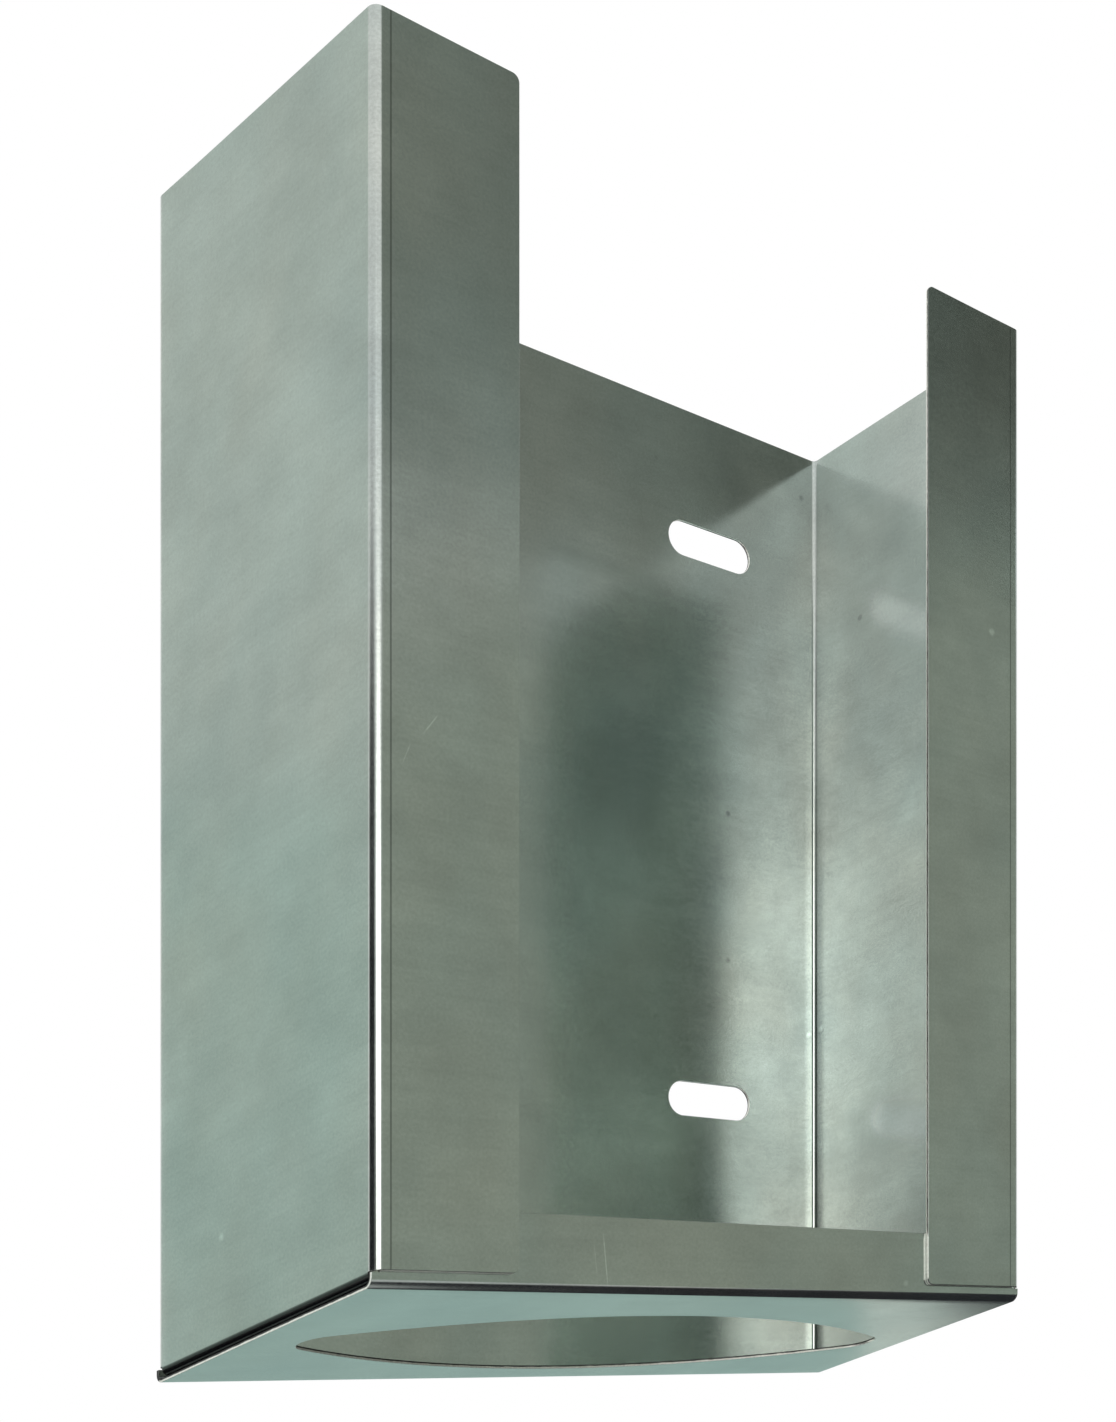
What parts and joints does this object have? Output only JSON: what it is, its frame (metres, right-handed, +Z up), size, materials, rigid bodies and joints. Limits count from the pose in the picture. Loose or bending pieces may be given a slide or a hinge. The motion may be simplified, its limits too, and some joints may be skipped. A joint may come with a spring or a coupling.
{
  "type": "recessed paper towel dispenser",
  "caption": "Folded stainless steel housing for a stack of paper towels, with an open top and front, a lipped base with a wide mouth, and slots in its back for fixing it in a wall recess.",
  "frame": {"origin": "under the middle of the base, halfway between the front and back faces", "axes": "+X across the housing, +Y towards the wall behind it, +Z up; the open front faces -Y"},
  "size_m": [0.275, 0.115, 0.39],
  "materials": {
    "satin_stainless": "satin mill finish"
  },
  "bodies": {
    "root": {"folded_housing": "satin_stainless"}
  },
  "joints": []
}
